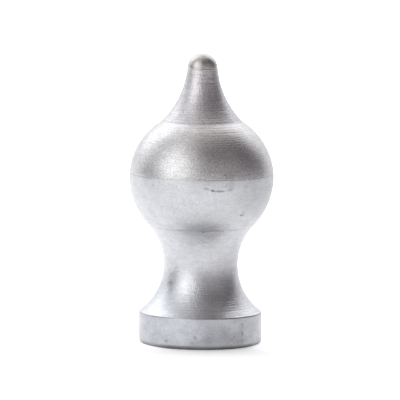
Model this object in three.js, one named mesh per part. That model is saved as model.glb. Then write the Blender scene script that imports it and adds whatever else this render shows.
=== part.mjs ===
// A fence spike: a steel finial turned in one piece, to be welded on top of a fence post or bar.
// A plain collar carries a waisted neck, a ball, and a spire that ends in a round nose.
// Millimetres, +Z up. The origin is the centre of the flat underside.

import * as THREE from "three";

// Driving dimensions
const totalHeight = 70.25;
const ballDiameter = 35;
const ballCentreHeight = 40.55;
const collarDiameter = 29.8;
const collarHeight = 7.55;
const footChamfer = 0.4; // the broken edge round the underside
const collarEdgeBreak = 0.1; // the collar's upper edge, eased with a file
const neckSweepRadius = 14.05; // the hollow between collar and ball, tangent to the ball
const seamAboveCentre = 0.6; // the two turning passes on the ball meet in a faint line here
const crownSweepRadius = 16.55; // the ball's upper pass, a slightly tighter arc than the ball's own
const shoulderRadius = 9.8; // where the ball ends and the spire begins
const shoulderHeight = 53.8;
const spireSweepRadius = 20.5; // the spire's hollow side
const noseRadius = 3.65;

const sidesAround = 64;
const degreesPerStep = 5.5; // each arc of the outline has a point about this often

const ballRadius = ballDiameter / 2;
const collarRadius = collarDiameter / 2;
const noseCentreHeight = totalHeight - noseRadius;

const point = (radius, height) => new THREE.Vector2(radius, height);

// The centre of the arc of a given radius that rises from one point of the outline to another.
// A hollow arc has its centre outside the solid, and a full one has it on the side of the axis.
function arcCentre(start, end, radius, isHollow) {
  const middle = start.clone().lerp(end, 0.5);
  const chord = end.clone().sub(start);
  const reach = Math.sqrt(radius ** 2 - (chord.length() / 2) ** 2);
  const outwards = point(chord.y, -chord.x).normalize();
  return middle.addScaledVector(outwards, isHollow ? reach : -reach);
}

// The centre of the neck's arc: it touches the ball and passes through the collar's upper edge.
function neckCentre(ballCentre, collarEdge) {
  const toEdge = collarEdge.clone().sub(ballCentre);
  const gap = toEdge.length();
  const fromBall = ballRadius + neckSweepRadius;
  const along = (gap ** 2 + fromBall ** 2 - neckSweepRadius ** 2) / (2 * gap);
  const aside = Math.sqrt(fromBall ** 2 - along ** 2);
  const unit = toEdge.clone().divideScalar(gap);
  const outwards = point(-unit.y, unit.x);
  return ballCentre.clone().addScaledVector(unit, along).addScaledVector(outwards, aside);
}

// Points along an arc between two points of the outline, without its first point.
function arcPoints(centre, start, end) {
  const from = start.clone().sub(centre);
  const radius = from.length();
  const startAngle = Math.atan2(from.y, from.x);
  const to = end.clone().sub(centre);
  const turn = Math.atan2(from.cross(to), from.dot(to));
  const steps = Math.ceil(Math.abs(THREE.MathUtils.radToDeg(turn)) / degreesPerStep);
  return Array.from({ length: steps }, (_, i) => {
    const angle = startAngle + (turn * (i + 1)) / steps;
    return point(centre.x + radius * Math.cos(angle), centre.y + radius * Math.sin(angle));
  });
}

// The outline from the middle of the underside, up the outside, to the tip.
function finialOutline() {
  const ballCentre = point(0, ballCentreHeight);
  const collarEdge = point(collarRadius - collarEdgeBreak, collarHeight);
  const neck = neckCentre(ballCentre, collarEdge);
  const neckMeetsBall = ballCentre
    .clone()
    .lerp(neck, ballRadius / (ballRadius + neckSweepRadius));
  const seamRadius = Math.sqrt(ballRadius ** 2 - seamAboveCentre ** 2);
  const seam = point(seamRadius, ballCentreHeight + seamAboveCentre);
  const shoulder = point(shoulderRadius, shoulderHeight);
  const noseCentre = point(0, noseCentreHeight);
  const noseEdge = point(noseRadius, noseCentreHeight);
  const crown = arcCentre(seam, shoulder, crownSweepRadius, false);
  const spire = arcCentre(shoulder, noseEdge, spireSweepRadius, true);

  const outline = [
    point(0, 0),
    point(collarRadius - footChamfer, 0),
    point(collarRadius, footChamfer),
    point(collarRadius, collarHeight - collarEdgeBreak),
    collarEdge,
    ...arcPoints(neck, collarEdge, neckMeetsBall),
    ...arcPoints(ballCentre, neckMeetsBall, seam),
    ...arcPoints(crown, seam, shoulder),
    ...arcPoints(spire, shoulder, noseEdge),
    ...arcPoints(noseCentre, noseEdge, point(0, totalHeight)),
  ];
  outline.at(-1).x = 0;
  return outline;
}

const turnedSteel = new THREE.MeshStandardMaterial({
  color: 0xa3a2a3,
  metalness: 1,
  roughness: 0.42,
});

function makeFinial() {
  const geometry = new THREE.LatheGeometry(finialOutline(), sidesAround);
  geometry.rotateX(Math.PI / 2); // the lathe turns about Y, and the finial stands along Z
  const finial = new THREE.Mesh(geometry, turnedSteel);
  finial.name = "turned_finial";
  return finial;
}

const fenceSpike = new THREE.Group();
fenceSpike.add(makeFinial());

export default fenceSpike;
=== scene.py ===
# A turned steel fence spike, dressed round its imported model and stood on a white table.
# Metres, +Z up. The outline is spun by Geometry Nodes, with the tool's feed grooves in the mesh.
import math
import bpy
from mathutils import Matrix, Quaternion, Vector


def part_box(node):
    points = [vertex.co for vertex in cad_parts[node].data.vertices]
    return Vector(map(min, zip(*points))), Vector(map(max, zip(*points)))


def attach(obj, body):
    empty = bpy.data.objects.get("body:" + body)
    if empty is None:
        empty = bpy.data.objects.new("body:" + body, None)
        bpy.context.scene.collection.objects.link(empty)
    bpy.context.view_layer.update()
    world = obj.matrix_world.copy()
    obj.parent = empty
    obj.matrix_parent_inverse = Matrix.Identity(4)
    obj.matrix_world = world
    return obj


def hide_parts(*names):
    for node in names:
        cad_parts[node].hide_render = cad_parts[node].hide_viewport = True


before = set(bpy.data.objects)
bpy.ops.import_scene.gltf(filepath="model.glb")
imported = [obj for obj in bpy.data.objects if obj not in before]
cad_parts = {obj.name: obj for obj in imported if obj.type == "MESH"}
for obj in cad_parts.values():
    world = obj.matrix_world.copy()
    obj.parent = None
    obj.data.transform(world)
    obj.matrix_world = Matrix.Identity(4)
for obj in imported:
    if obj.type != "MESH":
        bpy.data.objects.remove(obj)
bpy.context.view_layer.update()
mm = 0.001


# Small helpers for node trees

def plug(tree, socket, value):
    if isinstance(value, bpy.types.NodeSocket):
        tree.links.new(value, socket)
    else:
        socket.default_value = value


def addNode(tree, kind, inputs=None, **settings):
    made = tree.nodes.new(kind)
    for name, value in settings.items():
        setattr(made, name, value)
    for name, value in (inputs or {}).items():
        plug(tree, made.inputs[name], value)
    return made


def calc(tree, operation, *values):
    made = addNode(tree, "ShaderNodeMath", operation=operation)
    for socket, value in zip(made.inputs, values):
        plug(tree, socket, value)
    return made.outputs[0]


def vectorCalc(tree, operation, *values):
    made = addNode(tree, "ShaderNodeVectorMath", operation=operation)
    for socket, value in zip(made.inputs, values):
        plug(tree, socket, value)
    return made.outputs["Value" if operation in ("LENGTH", "DOT_PRODUCT") else "Vector"]


def scaleVector(tree, vector, amount):
    scaled = addNode(tree, "ShaderNodeVectorMath", {"Vector": vector, "Scale": amount}, operation="SCALE")
    return scaled.outputs[0]


def splitAxes(tree, vector):
    return addNode(tree, "ShaderNodeSeparateXYZ", {0: vector}).outputs


def joinAxes(tree, x, y, z=0.0):
    return addNode(tree, "ShaderNodeCombineXYZ", {"X": x, "Y": y, "Z": z}).outputs[0]


def noiseAt(tree, vector, scale, detail=2.0, seed=0.0):
    return addNode(tree, "ShaderNodeTexNoise", {
        "Vector": vector,
        "W": seed,
        "Scale": scale,
        "Detail": detail,
    }, noise_dimensions="4D").outputs[0]


def rescale(tree, value, low, high, toLow=0.0, toHigh=1.0, smooth=False):
    made = addNode(tree, "ShaderNodeMapRange", interpolation_type="SMOOTHSTEP" if smooth else "LINEAR")
    for socket, number in zip(made.inputs, (value, low, high, toLow, toHigh)):
        plug(tree, socket, number)
    return made.outputs[0]


noiseSpread = (0.3, 0.7)  # a noise texture's values lie mostly between these


def addSockets(tree, inOut, sockets):
    for name, kind in sockets.items():
        tree.interface.new_socket(name=name, in_out=inOut, socket_type="NodeSocket" + kind)


def setInputs(modifier, values):
    for item in modifier.node_group.interface.items_tree:
        if item.in_out == "INPUT" and item.name in values:
            modifier[item.identifier] = values[item.name]


# The spike

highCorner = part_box("turned_finial")[1]

spike = {
    "ballRadius": highCorner.x,
    "totalHeight": highCorner.z,
    "ballCentreHeight": 40.55 * mm,
    "collarRadius": 14.9 * mm,
    "collarHeight": 7.55 * mm,
    "footChamfer": 0.5 * mm,
    "footRise": 0.7 * mm,
    "footRounds": (0.3 * mm, 0.4 * mm),  # at the chamfer's lower and upper edge
    "edgeRound": 0.22 * mm,
    "ledgeRound": 0.03 * mm,
    "neckSweep": 14.05 * mm,  # radius of the hollow between collar and ball
    "seamAboveCentre": 0.6 * mm,
    "crownSweep": 16.55 * mm,
    "shoulderRadius": 9.8 * mm,
    "shoulderHeight": 53.8 * mm,
    "spireSweep": 20.5 * mm,
    "noseRadius": 3.65 * mm,
    "noseLedge": 0.07 * mm,  # the spire stands this much proud of the nose
    "undersideRows": 3 * mm,  # row spacing of the mesh where no stretch below gives it
    "chamferRows": 0.2 * mm,
    "sidesAround": 144,
    "feed": 0.55 * mm,  # the carriage climbs this far in one turn
    "seed": 7,
    "weld": 0.002 * mm,  # closes the spun grid along its edge and at both ends of the axis
}

# How each stretch of the outline was left by the tool: row spacing of the mesh,
# depth of the feed grooves, and unevenness of the skin
stretches = {
    "collar": {"rows": 0.4 * mm, "groove": 0.0, "uneven": 0.02 * mm},
    "neck": {"rows": 0.17 * mm, "groove": 0.024 * mm, "uneven": 0.006 * mm},
    "bowl": {"rows": 0.2 * mm, "groove": 0.006 * mm, "uneven": 0.008 * mm},
    "crown": {"rows": 0.08 * mm, "groove": 0.015 * mm, "uneven": 0.004 * mm},
    "spire": {"rows": 0.08 * mm, "groove": 0.025 * mm, "uneven": 0.003 * mm},
    "nose": {"rows": 0.16 * mm, "groove": 0.0, "uneven": 0.002 * mm},
}

# How the depth of the feed groove wanders, and how it grows where the outline leans over
cutting = {
    "chatterPerTurn": 1.3,
    "shallowest": 0.35,  # share of its depth that it always keeps
    "leanPower": 2.0,
    "leanLimit": 0.3,  # past this lean it grows no more
    "dentsPerMetre": 260.0,  # of the unevenness
}


def arcCentre(start, end, radius, isHollow):
    chord = end - start
    reach = math.sqrt(radius ** 2 - (chord.length / 2) ** 2)
    outwards = Vector((chord.y, -chord.x)).normalized()
    return (start + end) / 2 + outwards * (reach if isHollow else -reach)


def neckCentre(ballCentre, collarEdge):
    toEdge = collarEdge - ballCentre
    gap = toEdge.length
    fromBall = spike["ballRadius"] + spike["neckSweep"]
    along = (gap ** 2 + fromBall ** 2 - spike["neckSweep"] ** 2) / (2 * gap)
    aside = math.sqrt(fromBall ** 2 - along ** 2)
    unit = toEdge / gap
    return ballCentre + unit * along + Vector((-unit.y, unit.x)) * aside


def arcPoints(centre, start, end, spacing):
    radius = (start - centre).length
    turn = (end - centre).angle_signed(start - centre)
    steps = max(1, round(abs(turn) * radius / spacing))
    firstAngle = math.atan2(start.y - centre.y, start.x - centre.x)
    angles = [firstAngle + turn * (step + 1) / steps for step in range(steps)]
    return [centre + radius * Vector((math.cos(a), math.sin(a))) for a in angles]


def linePoints(start, end, spacing):
    steps = max(1, round((end - start).length / spacing))
    return [start.lerp(end, (step + 1) / steps) for step in range(steps)]


# Replaces the outline near a corner with a small round, by a Bezier curve of three points
def easeCorner(outline, corner, reach, steps=5):
    at = min(range(len(outline)), key=lambda i: (outline[i][0] - corner).length)
    before = [row for row in outline[:at] if (row[0] - corner).length > reach]
    after = [row for row in outline[at + 1:] if (row[0] - corner).length > reach]
    start = corner + (before[-1][0] - corner).normalized() * reach
    end = corner + (after[0][0] - corner).normalized() * reach
    rounded = []
    for step in range(steps + 1):
        t = step / steps
        place = start.lerp(corner, t).lerp(corner.lerp(end, t), t)
        rounded.append((place, outline[at][1] if t < 0.5 else after[0][1]))
    return before + rounded + after


# The outline from the middle of the underside to the tip: each row is a point (radius, height)
# and the stretch that it belongs to. The heights are where each stretch starts
def spikeOutline():
    ballCentre = Vector((0, spike["ballCentreHeight"]))
    collarEdge = Vector((spike["collarRadius"], spike["collarHeight"]))
    footOuter = Vector((spike["collarRadius"], spike["footRise"]))
    footInner = Vector((spike["collarRadius"] - spike["footChamfer"], 0))
    neck = neckCentre(ballCentre, collarEdge)
    ballShare = spike["ballRadius"] / (spike["ballRadius"] + spike["neckSweep"])
    neckMeetsBall = ballCentre.lerp(neck, ballShare)
    seamAngle = math.asin(spike["seamAboveCentre"] / spike["ballRadius"])
    seam = ballCentre + spike["ballRadius"] * Vector((math.cos(seamAngle), math.sin(seamAngle)))
    shoulder = Vector((spike["shoulderRadius"], spike["shoulderHeight"]))
    noseCentre = Vector((0, spike["totalHeight"] - spike["noseRadius"]))
    noseEdge = noseCentre + Vector((spike["noseRadius"], 0))
    spireTop = noseEdge + Vector((spike["noseLedge"], 0))
    tip = Vector((0, spike["totalHeight"]))
    crownCentre = arcCentre(seam, shoulder, spike["crownSweep"], False)
    spireCentre = arcCentre(shoulder, spireTop, spike["spireSweep"], True)

    def rows(name):
        return stretches[name]["rows"]

    parts = [
        ("collar", [Vector((0, 0))]),
        ("collar", linePoints(Vector((0, 0)), footInner, spike["undersideRows"])),
        ("collar", linePoints(footInner, footOuter, spike["chamferRows"])),
        ("collar", linePoints(footOuter, collarEdge, rows("collar"))),
        ("neck", arcPoints(neck, collarEdge, neckMeetsBall, rows("neck"))),
        ("bowl", arcPoints(ballCentre, neckMeetsBall, seam, rows("bowl"))),
        ("crown", arcPoints(crownCentre, seam, shoulder, rows("crown"))),
        ("spire", arcPoints(spireCentre, shoulder, spireTop, rows("spire"))),
        ("nose", linePoints(spireTop, noseEdge, rows("nose"))),
        ("nose", arcPoints(noseCentre, noseEdge, tip, rows("nose"))),
    ]
    outline = [(place, name) for name, places in parts for place in places]
    underRound, sideRound = spike["footRounds"]
    outline = easeCorner(outline, footInner, underRound)
    outline = easeCorner(outline, footOuter, sideRound)
    outline = easeCorner(outline, collarEdge, spike["edgeRound"])
    outline = easeCorner(outline, spireTop, spike["ledgeRound"], steps=3)
    outline[-1][0].x = 0
    print("outline drawn:", len(outline), "rows")
    heights = {
        "collar": -spike["totalHeight"],  # so that it takes all that lies under the neck
        "neck": collarEdge.y,
        "bowl": neckMeetsBall.y,
        "crown": seam.y,
        "spire": shoulder.y,
        "nose": noseEdge.y,
    }
    return outline, heights


# The outline as a wire mesh whose points carry what the lathe tree reads
def outlineObject(outline):
    mesh = bpy.data.meshes.new("spikeOutline")
    places = [(place.x, 0, place.y) for place, name in outline]
    mesh.from_pydata(places, [(i, i + 1) for i in range(len(places) - 1)], [])
    along = [0.0]
    for (place, name), (nextPlace, nextName) in zip(outline, outline[1:]):
        along.append(along[-1] + (nextPlace - place).length)
    values = {
        "groove": [stretches[name]["groove"] for place, name in outline],
        "uneven": [stretches[name]["uneven"] for place, name in outline],
        "along": along,
    }
    for name, numbers in values.items():
        mesh.attributes.new(name, "FLOAT", "POINT").data.foreach_set("value", numbers)
    host = bpy.data.objects.new("turnedSpike", mesh)
    bpy.context.scene.collection.objects.link(host)
    return host


def positionHere(tree):
    return addNode(tree, "GeometryNodeInputPosition").outputs[0]


def valueAtRow(tree, outline, row, value, kind):
    return addNode(tree, "GeometryNodeSampleIndex", {
        "Geometry": outline,
        "Value": value,
        "Index": row,
    }, data_type=kind, domain="POINT", clamp=True).outputs[0]


def placeAtRow(tree, outline, row):
    return valueAtRow(tree, outline, row, positionHere(tree), "FLOAT_VECTOR")


def numberAtRow(tree, outline, row, name):
    value = addNode(tree, "GeometryNodeInputNamedAttribute", {"Name": name}, data_type="FLOAT").outputs[0]
    return valueAtRow(tree, outline, row, value, "FLOAT")


# The tool climbs one feed in each turn of the work, so its groove is one long helix
def feedGroove(tree, given, around, height, depth, steepness):
    turns = calc(tree, "SUBTRACT", calc(tree, "DIVIDE", height, given["Feed"]), around)
    wholeTurns = calc(tree, "FLOOR", turns)
    acrossGroove = calc(tree, "SUBTRACT", turns, wholeTurns)
    scallop = calc(tree, "SINE", calc(tree, "MULTIPLY", acrossGroove, math.pi))
    toolTime = calc(tree, "ADD", wholeTurns, around)
    chatter = addNode(tree, "ShaderNodeTexNoise", {
        "W": calc(tree, "ADD", toolTime, given["Seed"]),
        "Scale": cutting["chatterPerTurn"],
    }, noise_dimensions="1D").outputs[0]
    cut = calc(tree, "MULTIPLY", scallop, rescale(tree, chatter, *noiseSpread, cutting["shallowest"], 1.0))
    cut = calc(tree, "MULTIPLY", cut, depth)
    # where the outline leans over, the same feed leaves wider and so deeper grooves
    lean = calc(tree, "POWER", steepness, cutting["leanPower"])
    return calc(tree, "DIVIDE", cut, calc(tree, "MAXIMUM", lean, cutting["leanLimit"]))


def spinRound(tree, vector, angle):
    turn = {"Vector": vector, "Angle": angle}
    return addNode(tree, "ShaderNodeVectorRotate", turn, rotation_type="Z_AXIS").outputs[0]


# Spins an outline about Z, cuts the feed groove into it, and dresses each stretch
def latheTree(zones):
    tree = bpy.data.node_groups.new("turnOnLathe", "GeometryNodeTree")
    tree.is_modifier = True
    addSockets(tree, "INPUT", {
        "Outline": "Geometry",
        "Sides Around": "Int",
        "Feed": "Float",
        "Seed": "Int",
    })
    for zone in zones:
        addSockets(tree, "INPUT", {zone + " Starts At": "Float", zone + " Finish": "Material"})
    addSockets(tree, "OUTPUT", {"Geometry": "Geometry"})
    given = tree.nodes.new("NodeGroupInput").outputs
    outline = given["Outline"]

    size = addNode(tree, "GeometryNodeAttributeDomainSize", {"Geometry": outline})
    rowCount = size.outputs["Point Count"]
    grid = addNode(tree, "GeometryNodeMeshGrid", {
        "Size X": 1.0,
        "Size Y": 1.0,
        "Vertices X": calc(tree, "ADD", given["Sides Around"], 1),
        "Vertices Y": rowCount,
    })
    # the grid is one across and centred, so half is added to count from its edges
    place = splitAxes(tree, positionHere(tree))
    around = calc(tree, "ADD", place["X"], 0.5)
    rowShare = calc(tree, "ADD", place["Y"], 0.5)
    row = calc(tree, "ROUND", calc(tree, "MULTIPLY", rowShare, calc(tree, "SUBTRACT", rowCount, 1)))

    here = placeAtRow(tree, outline, row)
    below = placeAtRow(tree, outline, calc(tree, "SUBTRACT", row, 1))
    above = placeAtRow(tree, outline, calc(tree, "ADD", row, 1))
    rise = vectorCalc(tree, "SUBTRACT", above, below)
    outwards = vectorCalc(tree, "CROSS_PRODUCT", (0.0, 1.0, 0.0), rise)
    outwards = vectorCalc(tree, "NORMALIZE", outwards)
    steepness = splitAxes(tree, outwards)["X"]
    grooveDepth = numberAtRow(tree, outline, row, "groove")
    cut = feedGroove(tree, given, around, splitAxes(tree, here)["Z"], grooveDepth, steepness)

    angle = calc(tree, "MULTIPLY", around, 2 * math.pi)
    spun = spinRound(tree, here, angle)
    unevenness = noiseAt(tree, spun, cutting["dentsPerMetre"], seed=given["Seed"])
    deepestDent = numberAtRow(tree, outline, row, "uneven")
    dent = calc(tree, "MULTIPLY", calc(tree, "SUBTRACT", 1.0, unevenness), deepestDent)
    inwards = calc(tree, "MULTIPLY", calc(tree, "ADD", cut, dent), -1.0)

    # kept for the materials, and stored before the grid is bent, while its rows can still be read
    mesh = addNode(tree, "GeometryNodeStoreNamedAttribute", {
        "Geometry": grid.outputs["Mesh"],
        "Name": "alongOutline",
        "Value": numberAtRow(tree, outline, row, "along"),
    }, data_type="FLOAT", domain="POINT").outputs[0]
    mesh = addNode(tree, "GeometryNodeSetPosition", {
        "Geometry": mesh,
        "Position": spun,
        "Offset": scaleVector(tree, spinRound(tree, outwards, angle), inwards),
    }).outputs[0]
    mesh = addNode(tree, "GeometryNodeMergeByDistance", {
        "Geometry": mesh,
        "Distance": spike["weld"],
    }).outputs[0]
    mesh = addNode(tree, "GeometryNodeSetShadeSmooth", {"Geometry": mesh}).outputs[0]
    mesh = addNode(tree, "GeometryNodeRealizeInstances", {"Geometry": mesh}).outputs[0]
    height = splitAxes(tree, positionHere(tree))["Z"]
    for zone in zones:
        mesh = addNode(tree, "GeometryNodeSetMaterial", {
            "Geometry": mesh,
            "Selection": addNode(tree, "FunctionNodeCompare", {
                "A": height,
                "B": given[zone + " Starts At"],
            }, data_type="FLOAT", operation="GREATER_THAN").outputs[0],
            "Material": given[zone + " Finish"],
        }).outputs[0]
    plug(tree, tree.nodes.new("NodeGroupOutput").inputs["Geometry"], mesh)
    return tree


# Shader node groups for the steel

def newGroup(name, inputs, outputs):
    tree = bpy.data.node_groups.new(name, "ShaderNodeTree")
    addSockets(tree, "INPUT", inputs)
    addSockets(tree, "OUTPUT", outputs)
    given = tree.nodes.new("NodeGroupInput").outputs
    result = tree.nodes.new("NodeGroupOutput").inputs
    return tree, given, result


def useGroup(tree, group, inputs):
    made = tree.nodes.new("ShaderNodeGroup")
    made.node_tree = group
    for name, value in inputs.items():
        plug(tree, made.inputs[name], value)
    return made.outputs


def objectPlace(tree):
    return addNode(tree, "ShaderNodeTexCoord").outputs["Object"]


# A Mix node has sockets for numbers and vectors too, so its colours are inputs 6 and 7 and output 2
def mixColour(tree, share, first, second):
    made = addNode(tree, "ShaderNodeMix", data_type="RGBA")
    plug(tree, made.inputs[0], share)
    plug(tree, made.inputs[6], first)
    plug(tree, made.inputs[7], second)
    return made.outputs[2]


# The shape of each pattern, apart from what a material sets for itself
patterns = {
    "beadRowsApart": 3.7,  # keeps the beads of one turn unlike the next turn's
    "ringLineCore": 0.25,  # share of the half width that is fully dark
    "ringLineBreaks": (0.35, 0.62),  # noise values between which the line comes back
    "breaksPerMetre": 220.0,
    "markCore": 0.3,
    "raggedEdge": 0.5,
    "ragsPerMetre": 1800.0,
    "markReach": 8 * mm,  # the same place on the far side of the work stays clean
    "pitCore": 0.3,
    "smallestPit": 0.4,  # of the full size
}


# A pattern that follows the turning: drawn out round the work by Stretch, and
# measured along the outline so that it keeps its size on slopes
def turnedNoiseGroup():
    tree, given, result = newGroup("turnedNoise", {
        "Size": "Float",
        "Stretch": "Float",
        "Detail": "Float",
        "Seed": "Float",
    }, {"Value": "Float"})
    place = splitAxes(tree, objectPlace(tree))
    along = addNode(tree, "ShaderNodeAttribute", attribute_name="alongOutline").outputs["Fac"]
    roundSize = calc(tree, "MULTIPLY", given["Size"], given["Stretch"])
    drawnX = calc(tree, "DIVIDE", place["X"], roundSize)
    drawnY = calc(tree, "DIVIDE", place["Y"], roundSize)
    drawn = joinAxes(tree, drawnX, drawnY, calc(tree, "DIVIDE", along, given["Size"]))
    noise = addNode(tree, "ShaderNodeTexNoise", {
        "Vector": drawn,
        "W": given["Seed"],
        "Scale": 1.0,
        "Detail": given["Detail"],
        "Roughness": 0.55,
    }, noise_dimensions="4D")
    plug(tree, result["Value"], noise.outputs[0])
    return tree


# The torn beads that a coarse feed leaves: each turn of the helix is a row of beads of its own
def tornBeadsGroup():
    tree, given, result = newGroup("tornBeads", {
        "Feed": "Float",
        "Bead Length": "Float",
        "Seed": "Float",
    }, {"Height": "Float"})
    place = splitAxes(tree, objectPlace(tree))
    around = calc(tree, "DIVIDE", calc(tree, "ARCTAN2", place["Y"], place["X"]), 2 * math.pi)
    around = calc(tree, "WRAP", around, 1.0, 0.0)
    turns = calc(tree, "SUBTRACT", calc(tree, "DIVIDE", place["Z"], given["Feed"]), around)
    wholeTurns = calc(tree, "FLOOR", turns)
    scallop = calc(tree, "SINE", calc(tree, "MULTIPLY", calc(tree, "SUBTRACT", turns, wholeTurns), math.pi))
    beadX = calc(tree, "DIVIDE", place["X"], given["Bead Length"])
    beadY = calc(tree, "DIVIDE", place["Y"], given["Bead Length"])
    toolTime = calc(tree, "ADD", wholeTurns, around)
    row = joinAxes(tree, beadX, beadY, calc(tree, "MULTIPLY", toolTime, patterns["beadRowsApart"]))
    bead = rescale(tree, noiseAt(tree, row, 1.0, 1.0, given["Seed"]), *noiseSpread)
    plug(tree, result["Height"], calc(tree, "MULTIPLY", bead, scallop))
    return tree


# A line round the work, fading in and out round it. Most are where two cuts meet; the one at the foot is
# painted shade
def ringLineGroup():
    tree, given, result = newGroup("ringLine", {
        "Height": "Float",
        "Width": "Float",
        "Break Up": "Float",
        "Seed": "Float",
    }, {"Mask": "Float"})
    place = objectPlace(tree)
    wave = noiseAt(tree, place, patterns["breaksPerMetre"], 3.0, given["Seed"])
    away = calc(tree, "SUBTRACT", splitAxes(tree, place)["Z"], given["Height"])
    away = calc(tree, "DIVIDE", calc(tree, "ABSOLUTE", away), given["Width"])
    line = rescale(tree, away, patterns["ringLineCore"], 1.0, 1.0, 0.0, smooth=True)
    faintest = calc(tree, "SUBTRACT", 1.0, given["Break Up"])
    presence = rescale(tree, wave, *patterns["ringLineBreaks"], faintest, 1.0)
    plug(tree, result["Mask"], calc(tree, "MULTIPLY", line, presence))
    return tree


# One scratch, dent, stain or patch of painted reflection at a place on the skin
def markGroup():
    tree, given, result = newGroup("mark", {
        "Place": "Vector",
        "Lengthwise": "Vector",
        "Crosswise": "Vector",
        "Length": "Float",
        "Width": "Float",
        "Bend": "Float",
    }, {"Mask": "Float"})
    place = objectPlace(tree)
    rags = addNode(tree, "ShaderNodeTexNoise", {"Vector": place, "Scale": patterns["ragsPerMetre"]})
    shake = rescale(tree, rags.outputs[0], 0.0, 1.0, -patterns["raggedEdge"], patterns["raggedEdge"])
    away = vectorCalc(tree, "SUBTRACT", place, given["Place"])
    lengthwise = vectorCalc(tree, "DOT_PRODUCT", away, given["Lengthwise"])
    crosswise = vectorCalc(tree, "DOT_PRODUCT", away, given["Crosswise"])
    lengthShare = calc(tree, "DIVIDE", calc(tree, "MULTIPLY", lengthwise, 2.0), given["Length"])
    bow = calc(tree, "MULTIPLY", calc(tree, "MULTIPLY", lengthShare, lengthShare), given["Bend"])
    crosswise = calc(tree, "SUBTRACT", crosswise, bow)
    crossShare = calc(tree, "DIVIDE", calc(tree, "MULTIPLY", crosswise, 2.0), given["Width"])
    crossShare = calc(tree, "ADD", crossShare, shake)
    reach = vectorCalc(tree, "LENGTH", joinAxes(tree, lengthShare, crossShare))
    mask = rescale(tree, reach, patterns["markCore"], 1.0, 1.0, 0.0, smooth=True)
    near = calc(tree, "LESS_THAN", vectorCalc(tree, "LENGTH", away), patterns["markReach"])
    plug(tree, result["Mask"], calc(tree, "MULTIPLY", mask, near))
    return tree


# Small pits scattered thinly over the skin
def pitsGroup():
    tree, given, result = newGroup("pits", {
        "Spacing": "Float",
        "Size": "Float",
        "Share": "Float",
        "Seed": "Float",
    }, {"Mask": "Float"})
    cells = addNode(tree, "ShaderNodeTexVoronoi", {
        "Vector": objectPlace(tree),
        "W": given["Seed"],
        "Scale": calc(tree, "DIVIDE", 1.0, given["Spacing"]),
    }, voronoi_dimensions="4D")
    chance = splitAxes(tree, cells.outputs["Color"])
    chosen = calc(tree, "LESS_THAN", chance["X"], given["Share"])
    distance = calc(tree, "MULTIPLY", cells.outputs["Distance"], given["Spacing"])
    sizeShare = rescale(tree, chance["Y"], 0.0, 1.0, patterns["smallestPit"], 1.0)
    distance = calc(tree, "DIVIDE", distance, calc(tree, "MULTIPLY", given["Size"], sizeShare))
    pit = rescale(tree, distance, patterns["pitCore"], 1.0, 1.0, 0.0, smooth=True)
    plug(tree, result["Mask"], calc(tree, "MULTIPLY", pit, chosen))
    return tree


groups = {
    "turnedNoise": turnedNoiseGroup(),
    "tornBeads": tornBeadsGroup(),
    "ringLine": ringLineGroup(),
    "mark": markGroup(),
    "pits": pitsGroup(),
}


# Steel finishes, one for each stretch. Colour and shade are the light and dark ends of the mottle,
# and roughness goes from the light end to the dark. The shades of grain and hairlines say how much
# they darken the steel, hairlines and beads how much they add to the relief, and skinDepth how deep
# the relief is
finishes = {
    "collar": {
        "colour": (0.512, 0.526, 0.552, 1),
        "shade": (0.425, 0.44, 0.464, 1),
        "roughness": (0.33, 0.42),
        "mottle": 1.9 * mm,
        "grain": 0.36 * mm,
        "grainStretch": 1.0,
        "grainShade": 0.16,
        "hairlines": 0.1,
        "hairlineShade": 0.0,
        "skinDepth": 0.02 * mm,
        "pitShare": 0.3,
        "beads": 0.0,
        "beadLength": 0.5 * mm,
    },
    "neck": {
        "colour": (0.573, 0.58, 0.60, 1),
        "shade": (0.495, 0.502, 0.522, 1),
        "roughness": (0.31, 0.35),
        "mottle": 1.2 * mm,
        "grain": 0.32 * mm,
        "grainStretch": 1.0,
        "grainShade": 0.15,
        "hairlines": 0.08,
        "hairlineShade": 0.05,
        "skinDepth": 0.072 * mm,
        "pitShare": 0.03,
        "beads": 0.1,
        "beadLength": 0.4 * mm,
    },
    "bowl": {
        "colour": (0.574, 0.582, 0.598, 1),
        "shade": (0.505, 0.514, 0.531, 1),
        "roughness": (0.36, 0.42),
        "mottle": 1.7 * mm,
        "grain": 0.40 * mm,
        "grainStretch": 0.95,
        "grainShade": 0.16,
        "hairlines": 0.1,
        "hairlineShade": 0.04,
        "skinDepth": 0.028 * mm,
        "pitShare": 0.15,
        "beads": 0.1,
        "beadLength": 0.5 * mm,
    },
    "crown": {
        "colour": (0.625, 0.615, 0.615, 1),
        "shade": (0.555, 0.545, 0.545, 1),
        "roughness": (0.33, 0.37),
        "mottle": 1.4 * mm,
        "grain": 0.32 * mm,
        "grainStretch": 1.0,
        "grainShade": 0.35,
        "hairlines": 0.08,
        "hairlineShade": 0.09,
        "skinDepth": 0.046 * mm,
        "pitShare": 0.03,
        "beads": 0.1,
        "beadLength": 0.35 * mm,
    },
    "spire": {
        "colour": (0.617, 0.602, 0.617, 1),
        "shade": (0.527, 0.512, 0.527, 1),
        "roughness": (0.38, 0.43),
        "mottle": 1.2 * mm,
        "grain": 0.33 * mm,
        "grainStretch": 1.1,
        "grainShade": 0.33,
        "hairlines": 0.12,
        "hairlineShade": 0.14,
        "skinDepth": 0.06 * mm,
        "pitShare": 0.06,
        "beads": 0.3,
        "beadLength": 0.4 * mm,
    },
    "nose": {
        "colour": (0.455, 0.445, 0.41, 1),
        "shade": (0.47, 0.445, 0.43, 1),
        "roughness": (0.30, 0.36),
        "mottle": 0.9 * mm,
        "grain": 0.5 * mm,
        "grainStretch": 1.2,
        "grainShade": 0.15,
        "hairlines": 0.1,
        "hairlineShade": 0.0,
        "skinDepth": 0.03 * mm,
        "pitShare": 0.1,
        "beads": 0.0,
        "beadLength": 0.5 * mm,
    },
}

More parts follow.
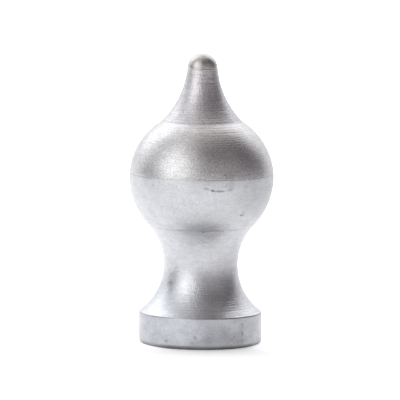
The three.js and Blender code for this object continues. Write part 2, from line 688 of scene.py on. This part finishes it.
# What all the finishes share
sharedLook = {
    "mottleStretch": 1.5,
    "mottleDetail": 3.0,
    "hairlineSize": 0.28 * mm,
    "hairlineStretch": 22.0,
    "hairlineDetail": 1.0,
    "hairlineSpread": (0.35, 0.6),
    "grainSpread": (0.33, 0.67),
    "beadSpread": 0.5,  # beads lift the top of the grain's spread by this share of their relief
    "pitSpacing": 2.2 * mm,
    "pitSize": 0.28 * mm,
    "pitDarkness": 0.4,
    "hollowColour": (0.08, 0.075, 0.075, 1),
    "markAndPaintedShadeColour": (0.05, 0.045, 0.045, 1),
    "markDepth": 0.6,  # of the skin's own relief
}

# Lines round the work: height, half width, how dark, how broken. The foot's line is painted shade where the
# collar meets the table, the collar's edge line darkens the crease at its top, and the others darken where
# two cuts meet
ringLines = {
    # painted shade: the foot's line darkens the bottom of the collar where it stands on the table
    "foot": (0.15 * mm, 1.0 * mm, 0.5, 0.1),
    "collarEdge": (7.46 * mm, 0.16 * mm, 0.5, 0.5),
    "neckJoint": (28.5 * mm, 0.16 * mm, 0.4, 0.95),
    "seam": (41.2 * mm, 0.12 * mm, 0.4, 0.95),
    "shoulder": (53.9 * mm, 0.14 * mm, 0.2, 0.6),
}

# Scratches, nicks, stains and two patches of painted reflection by zone: azimuth in degrees to the right
# of the front, height, length, width, tilt in degrees, bend and how dark
marks = {
    "collar": [
        (-66, 4.2 * mm, 7.0 * mm, 9.0 * mm, 0, 0.0, 0.08),
        (17, 3.2 * mm, 11.0 * mm, 6.5 * mm, 0, 0.0, 0.18),
        (40, 2.4 * mm, 6.0 * mm, 5.0 * mm, 0, 0.0, 0.24),
        (30, 2.3 * mm, 2.4 * mm, 1.5 * mm, 0, 0.0, 0.24),
        (-33, 1.8 * mm, 1.5 * mm, 1.3 * mm, 0, 0.0, 0.25),
        (41.5, 3.8 * mm, 3.0 * mm, 8.0 * mm, 0, 0.0, 0.14),
        (42.8, 5.6 * mm, 0.7 * mm, 2.0 * mm, 0, 0.0, 0.34),
        (42.8, 3.6 * mm, 0.6 * mm, 1.8 * mm, 5, 0.0, 0.6),
        (42.9, 1.9 * mm, 1.0 * mm, 1.0 * mm, 0, 0.0, 0.45),
        (33.4, 2.9 * mm, 0.6 * mm, 1.0 * mm, 20, 0.0, 0.4),
        (21.8, 4.5 * mm, 1.6 * mm, 1.6 * mm, 0, 0.0, 0.25),
        (-1.1, 5.6 * mm, 0.6 * mm, 0.5 * mm, 0, 0.0, 0.25),
        (-4.7, 3.0 * mm, 1.2 * mm, 1.4 * mm, 10, 0.0, 0.28),
        (-7.5, 1.7 * mm, 1.3 * mm, 0.9 * mm, 0, 0.0, 0.22),
    ],
    "neck": [
        (-50, 15.1 * mm, 2.2 * mm, 1.6 * mm, 0, 0.0, 0.38),
        (-47, 14.2 * mm, 2.6 * mm, 3.6 * mm, 8, 0.0, 0.16),
        (2.6, 28.2 * mm, 1.1 * mm, 0.8 * mm, 0, 0.0, 0.4),
        # painted reflection: a soft dark patch on the neck's front, standing in for a reflection of the
        # dark room in front
        (10.6, 27.0 * mm, 4.2 * mm, 2.2 * mm, 0, 0.0, 0.11),
    ],
    "bowl": [
        (4.0, 39.3 * mm, 2.2 * mm, 0.6 * mm, -16, 0.0, 0.35),
        (9.0, 38.75 * mm, 1.6 * mm, 0.85 * mm, -10, 0.0, 0.65),
        (14.5, 38.6 * mm, 4.2 * mm, 0.7 * mm, 0, 0.1 * mm, 0.5),
        (23.5, 38.9 * mm, 2.8 * mm, 0.9 * mm, 12, 0.0, 0.35),
        (24.0, 39.9 * mm, 2.6 * mm, 3.4 * mm, 0, 0.0, 0.15),
        (37.9, 39.45 * mm, 0.7 * mm, 0.7 * mm, 0, 0.0, 0.3),
        # painted reflection: a wide dark band round the front of the ball's underside, standing in for its
        # reflection of the neck and flare
        (0.5, 29.5 * mm, 13.5 * mm, 4.0 * mm, 0, 0.0, 0.17),
        (38.6, 32.3 * mm, 0.8 * mm, 0.65 * mm, 0, 0.0, 0.9),
        (41.0, 32.3 * mm, 0.5 * mm, 0.5 * mm, 0, 0.0, 0.5),
        (0.5, 28.35 * mm, 9.0 * mm, 0.4 * mm, 0, 0.0, 0.28),
        (2.6, 28.3 * mm, 1.1 * mm, 0.8 * mm, 0, 0.0, 0.4),
        (40.0, 32.9 * mm, 1.8 * mm, 2.6 * mm, 0, 0.0, 0.13),
        (37.9, 33.6 * mm, 0.4 * mm, 0.4 * mm, 0, 0.0, 0.4),
        (35.7, 34.2 * mm, 0.4 * mm, 0.4 * mm, 0, 0.0, 0.4),
        (-41.6, 39.5 * mm, 0.7 * mm, 0.5 * mm, 0, 0.0, 0.3),
        (19.9, 40.2 * mm, 0.5 * mm, 1.6 * mm, 0, 0.0, 0.25),
    ],
    "crown": [
        (19.1, 42.55 * mm, 0.6 * mm, 0.6 * mm, 0, 0.0, 0.7),
        (20.0, 41.8 * mm, 0.5 * mm, 1.4 * mm, 0, 0.0, 0.35),
        (24.0, 42.2 * mm, 2.2 * mm, 2.6 * mm, 0, 0.0, 0.15),
    ],
}


# The point of the skin at an azimuth and height, with the directions round the work and up it
def skinFrame(azimuth, height, outline):
    turn = math.radians(azimuth)
    front = Vector((math.sin(turn), -math.cos(turn), 0))
    places = [place for place, name in outline]
    upper = next(i for i, place in enumerate(places) if place.y > height)
    lower, higher = places[upper - 1], places[upper]
    share = (height - lower.y) / (higher.y - lower.y)
    radius = lower.x + (higher.x - lower.x) * share
    place = front * radius + Vector((0, 0, height))
    around = Vector((math.cos(turn), math.sin(turn), 0))
    slope = (higher - lower).normalized()
    return place, around, front * slope.x + Vector((0, 0, slope.y))


def addMarks(tree, zone, outline):
    total = 0.0
    for azimuth, height, length, width, tilt, bend, darkness in marks.get(zone, []):
        place, around, upwards = skinFrame(azimuth, height, outline)
        lean = math.radians(tilt)
        mask = useGroup(tree, groups["mark"], {
            "Place": place,
            "Lengthwise": around * math.cos(lean) + upwards * math.sin(lean),
            "Crosswise": upwards * math.cos(lean) - around * math.sin(lean),
            "Length": length,
            "Width": width,
            "Bend": bend,
        })["Mask"]
        total = calc(tree, "MAXIMUM", total, calc(tree, "MULTIPLY", mask, darkness))
    return total


def addRingLines(tree):
    total = 0.0
    for seed, (height, width, darkness, breakUp) in enumerate(ringLines.values()):
        mask = useGroup(tree, groups["ringLine"], {
            "Height": height,
            "Width": width,
            "Break Up": breakUp,
            "Seed": seed,
        })["Mask"]
        total = calc(tree, "MAXIMUM", total, calc(tree, "MULTIPLY", mask, darkness))
    return total


def steel(zone, look, outline):
    material = bpy.data.materials.new(zone + "Steel")
    material.use_nodes = True
    tree = material.node_tree
    shader = tree.nodes["Principled BSDF"]
    seed = list(finishes).index(zone)

    def noise(size, stretch, detail, seedStep):
        return useGroup(tree, groups["turnedNoise"], {
            "Size": size,
            "Stretch": stretch,
            "Detail": detail,
            "Seed": seed * 10 + seedStep,
        })["Value"]

    mottle = noise(look["mottle"], sharedLook["mottleStretch"], sharedLook["mottleDetail"], seedStep=1)
    mottle = rescale(tree, mottle, *noiseSpread)
    grain = noise(look["grain"], look["grainStretch"], 0.0, seedStep=2)
    beads = useGroup(tree, groups["tornBeads"], {
        "Feed": spike["feed"],
        "Bead Length": look["beadLength"],
        "Seed": seed,
    })["Height"]
    hairlines = noise(
        sharedLook["hairlineSize"],
        sharedLook["hairlineStretch"],
        sharedLook["hairlineDetail"],
        seedStep=3,
    )
    pits = useGroup(tree, groups["pits"], {
        "Spacing": sharedLook["pitSpacing"],
        "Size": sharedLook["pitSize"],
        "Share": look["pitShare"],
        "Seed": seed,
    })["Mask"]
    pits = calc(tree, "MULTIPLY", pits, sharedLook["pitDarkness"])
    dark = calc(tree, "MAXIMUM", addMarks(tree, zone, outline), pits)
    dark = calc(tree, "MAXIMUM", dark, addRingLines(tree))

    # hollows and scores hold less light, and marks least; the marks include painted shade at the foot and
    # painted reflections under the ball and on the neck
    colour = mixColour(tree, mottle, look["shade"], look["colour"])
    hollows = calc(tree, "ADD", calc(tree, "MULTIPLY", beads, look["beads"]), grain)
    lowest, highest = sharedLook["grainSpread"]
    highest = highest + sharedLook["beadSpread"] * look["beads"]
    hollows = rescale(tree, hollows, lowest, highest, look["grainShade"], 0.0)
    colour = mixColour(tree, hollows, colour, sharedLook["hollowColour"])
    scores = rescale(tree, hairlines, *sharedLook["hairlineSpread"], look["hairlineShade"], 0.0)
    colour = mixColour(tree, scores, colour, sharedLook["hollowColour"])
    colour = mixColour(tree, dark, colour, sharedLook["markAndPaintedShadeColour"])
    plug(tree, shader.inputs["Base Color"], colour)
    shader.inputs["Metallic"].default_value = 1.0
    smoothest, roughest = look["roughness"]
    plug(tree, shader.inputs["Roughness"], rescale(tree, mottle, 0.0, 1.0, roughest, smoothest))
    relief = calc(tree, "ADD", grain, calc(tree, "MULTIPLY", hairlines, look["hairlines"]))
    relief = calc(tree, "ADD", relief, calc(tree, "MULTIPLY", beads, look["beads"]))
    relief = calc(tree, "SUBTRACT", relief, calc(tree, "MULTIPLY", dark, sharedLook["markDepth"]))
    bump = addNode(tree, "ShaderNodeBump", {
        "Strength": 1.0,
        "Distance": look["skinDepth"],
        "Height": relief,
    })
    plug(tree, shader.inputs["Normal"], bump.outputs[0])
    return material


def makeSpike():
    outline, heights = spikeOutline()
    host = outlineObject(outline)
    zones = list(stretches)
    modifier = host.modifiers.new("turnOnLathe", "NODES")
    modifier.node_group = latheTree(zones)
    values = {
        "Sides Around": spike["sidesAround"],
        "Feed": spike["feed"],
        "Seed": spike["seed"],
    }
    for zone in zones:
        values[zone + " Starts At"] = heights[zone]
        values[zone + " Finish"] = steel(zone, finishes[zone], outline)
    setInputs(modifier, values)
    evaluated = host.evaluated_get(bpy.context.evaluated_depsgraph_get())
    mesh = bpy.data.meshes.new_from_object(evaluated)
    bpy.data.objects.remove(host)
    piece = bpy.data.objects.new("turnedSpike", mesh)
    bpy.context.scene.collection.objects.link(piece)
    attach(piece, "root")
    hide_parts("turned_finial")
    triangles = sum(len(face.vertices) - 2 for face in mesh.polygons)
    print("spike turned:", triangles, "triangles,", len(finishes), "finishes")


makeSpike()


# Table, light and camera

studio = {
    "tableSize": 6.0,
    "tableColour": (0.9, 0.9, 0.905, 1),
    "tableRoughness": 0.9,
    "tableGloss": 0.1,
    "tableFill": 0.30,  # lifts the table to white without changing what the steel reflects
    "backGlow": 0.26,  # the paper is lit this much more behind the spike
    "backGlowOver": (-0.04, 0.12),  # distances behind the spike between which it sets in
    "nearGlow": 0.12,
    "nearGlowOver": (0.06, 0.16),  # distances from the spike between which it fades
    "sideGlow": 0.30,  # beside and behind the foot's shade, for the camera alone
    "steelLift": 0.18,  # the steel sees the table this much brighter than the camera does
    "rightShade": 0.30,  # and this much darker on its right
    "rightShadeAside": (0.02, 0.08),  # distances to the right and back between which it sets in
    "rightShadeBack": (-0.10, 0.0),
    "footShadeTurn": 5.16,  # degrees to the right of the front
    "footShadeFan": (65.2, 25.8),  # degrees to either side between which it sets in
    "footShadeOver": (0.012, 0.045),  # distances from the axis between which it fades
    "room": (0.144, 0.126, 0.14),
    "paperWhite": 1.5,
}

# Each light is a soft-edged window of the sky, in degrees. Azimuth 0 is where the camera stands,
# 90 its right and 180 behind the spike
lights = {
    "backdrop": {"azimuths": (126, 251), "elevations": (-30, 60), "soft": 10, "colour": (1.09, 1.12, 1.15)},
    "topSheet": {"azimuths": (114, 241), "elevations": (22, 200), "soft": 8, "colour": (0.67, 0.67, 0.68)},
    "leftWall": {"azimuths": (-151, -55), "elevations": (13, 90), "soft": 6, "colour": (0.53, 0.55, 0.57)},
    "keyBox": {"azimuths": (-69, -20), "elevations": (-6, 50), "soft": 27, "colour": (2.38, 2.43, 2.44)},
    "ceiling": {"azimuths": (-180, 180), "elevations": (66, 200), "soft": 27, "colour": (0.56, 0.52, 0.49)},
    "frontGlow": {"azimuths": (-13, 73), "elevations": (5, 37), "soft": 9, "colour": (0.30, 0.29, 0.28)},
    "frontLow": {"azimuths": (-5, 30), "elevations": (7, 23), "soft": 7, "colour": (0.19, 0.19, 0.21)},
    "rightLow": {"azimuths": (72, 120), "elevations": (1, 17), "soft": 8, "colour": (0.14, 0.13, 0.15)},
}


def makeTable():
    half = studio["tableSize"] / 2
    mesh = bpy.data.meshes.new("table")
    corners = [(-half, -half, 0), (half, -half, 0), (half, half, 0), (-half, half, 0)]
    mesh.from_pydata(corners, [], [(0, 1, 2, 3)])
    table = bpy.data.objects.new("table", mesh)
    bpy.context.scene.collection.objects.link(table)
    material = bpy.data.materials.new("whiteTable")
    material.use_nodes = True
    shader = material.node_tree.nodes["Principled BSDF"]
    shader.inputs["Roughness"].default_value = studio["tableRoughness"]
    shader.inputs["Specular IOR Level"].default_value = studio["tableGloss"]
    shader.inputs["Emission Color"].default_value = (1, 1, 1, 1)
    tree = material.node_tree
    here = objectPlace(tree)
    place = splitAxes(tree, here)
    distance = vectorCalc(tree, "LENGTH", here)
    seen = addNode(tree, "ShaderNodeLightPath").outputs["Is Camera Ray"]
    unseen = calc(tree, "SUBTRACT", 1.0, seen)

    behind = rescale(tree, place["Y"], *studio["backGlowOver"], 0.0, studio["backGlow"], smooth=True)
    near = rescale(tree, distance, *studio["nearGlowOver"], studio["nearGlow"], 0.0, smooth=True)
    glow = calc(tree, "ADD", behind, near)
    glow = calc(tree, "ADD", glow, calc(tree, "MULTIPLY", unseen, studio["steelLift"]))

    # in the steel, the right of the table falls off into the dark room
    aside = rescale(tree, place["X"], *studio["rightShadeAside"], 0.0, studio["rightShade"], smooth=True)
    shade = calc(tree, "MULTIPLY", aside, rescale(tree, place["Y"], *studio["rightShadeBack"], smooth=True))
    lit = calc(tree, "SUBTRACT", 1.0, calc(tree, "MULTIPLY", shade, unseen))

    # the foot's own shade lies only in front of it
    turn = math.radians(studio["footShadeTurn"])
    front = (math.sin(turn), -math.cos(turn), 0.0)
    facing = vectorCalc(tree, "DOT_PRODUCT", vectorCalc(tree, "NORMALIZE", here), front)
    outermost, innermost = [math.cos(math.radians(angle)) for angle in studio["footShadeFan"]]
    inFront = rescale(tree, facing, outermost, innermost, smooth=True)
    dull = rescale(tree, distance, *studio["footShadeOver"], 1.0, 0.0, smooth=True)
    clear = calc(tree, "SUBTRACT", 1.0, calc(tree, "MULTIPLY", dull, inFront))
    glow = calc(tree, "MULTIPLY", glow, calc(tree, "MULTIPLY", lit, clear))
    beside = calc(tree, "MULTIPLY", calc(tree, "SUBTRACT", 1.0, inFront), seen)
    glow = calc(tree, "ADD", glow, calc(tree, "MULTIPLY", beside, studio["sideGlow"]))

    plug(tree, shader.inputs["Base Color"], mixColour(tree, lit, (0, 0, 0, 1), studio["tableColour"]))
    plug(tree, shader.inputs["Emission Strength"], glow)
    mesh.materials.append(material)
    print("table laid:", studio["tableSize"], "m across")


def skyWindow(tree, azimuth, elevation, light):
    soft = light["soft"]
    low, high = light["elevations"]
    middle = sum(light["azimuths"]) / 2
    reach = (light["azimuths"][1] - light["azimuths"][0]) / 2
    aside = calc(tree, "WRAP", calc(tree, "SUBTRACT", azimuth, middle), 180.0, -180.0)
    aside = calc(tree, "ABSOLUTE", aside)
    sideways = rescale(tree, aside, reach - soft, reach + soft, 1.0, 0.0, smooth=True)
    fromLow = rescale(tree, elevation, low - soft, low + soft, smooth=True)
    toHigh = rescale(tree, elevation, high - soft, high + soft, 1.0, 0.0, smooth=True)
    window = calc(tree, "MULTIPLY", sideways, calc(tree, "MULTIPLY", fromLow, toHigh))
    return scaleVector(tree, light["colour"], window)


def makeSky():
    world = bpy.data.worlds.new("studioSky")
    bpy.context.scene.world = world
    world.use_nodes = True
    tree = world.node_tree
    direction = addNode(tree, "ShaderNodeTexCoord").outputs["Generated"]
    axes = splitAxes(tree, direction)
    towardsCamera = calc(tree, "MULTIPLY", axes["Y"], -1.0)
    azimuth = calc(tree, "DEGREES", calc(tree, "ARCTAN2", axes["X"], towardsCamera))
    elevation = calc(tree, "DEGREES", calc(tree, "ARCSINE", axes["Z"]))
    sky = studio["room"]
    for light in lights.values():
        sky = vectorCalc(tree, "ADD", sky, skyWindow(tree, azimuth, elevation, light))
    rays = addNode(tree, "ShaderNodeLightPath").outputs
    fill = calc(tree, "MULTIPLY", rays["Is Diffuse Ray"], studio["tableFill"])
    sky = vectorCalc(tree, "ADD", sky, fill)
    paper = [studio["paperWhite"]] * 3 + [1]
    sky = mixColour(tree, rays["Is Camera Ray"], sky, paper)
    plug(tree, tree.nodes["Background"].inputs["Color"], sky)
    print("sky lit:", len(lights), "soft windows")


camera = {
    "distance": 1.4,
    "sensorWidth": 36,  # millimetres, as the lens is
    "elevation": 6.489,
    "roll": 0.523,  # the picture leans this much to the right
    "pixelsPerMetre": 4135.0,  # at the aim
    "aimHeight": 35 * mm,
    "aimPixel": (201.32, 198.38),
    "pictureSize": 400,
}


def makeCamera():
    data = bpy.data.cameras.new("camera")
    made = bpy.data.objects.new("camera", data)
    bpy.context.scene.collection.objects.link(made)
    bpy.context.scene.camera = made
    frameWidth = camera["pictureSize"] / camera["pixelsPerMetre"]
    data.sensor_width = camera["sensorWidth"]
    data.lens = data.sensor_width * camera["distance"] / frameWidth
    lift = math.radians(camera["elevation"])
    back = Vector((0, -math.cos(lift), math.sin(lift)))
    up = Vector((0, math.sin(lift), math.cos(lift)))
    middle = camera["pictureSize"] / 2
    aside = (middle - camera["aimPixel"][0]) / camera["pixelsPerMetre"]
    higher = (camera["aimPixel"][1] - middle) / camera["pixelsPerMetre"]
    target = Vector((0, 0, camera["aimHeight"])) + Vector((1, 0, 0)) * aside + up * higher
    made.location = target + back * camera["distance"]
    made.rotation_mode = "QUATERNION"
    lean = Quaternion((0, 0, 1), math.radians(camera["roll"]))
    made.rotation_quaternion = (-back).to_track_quat("-Z", "Y") @ lean
    print("camera set:", round(data.lens), "mm lens")


makeTable()
makeSky()
makeCamera()
bpy.context.scene.view_settings.view_transform = "Standard"
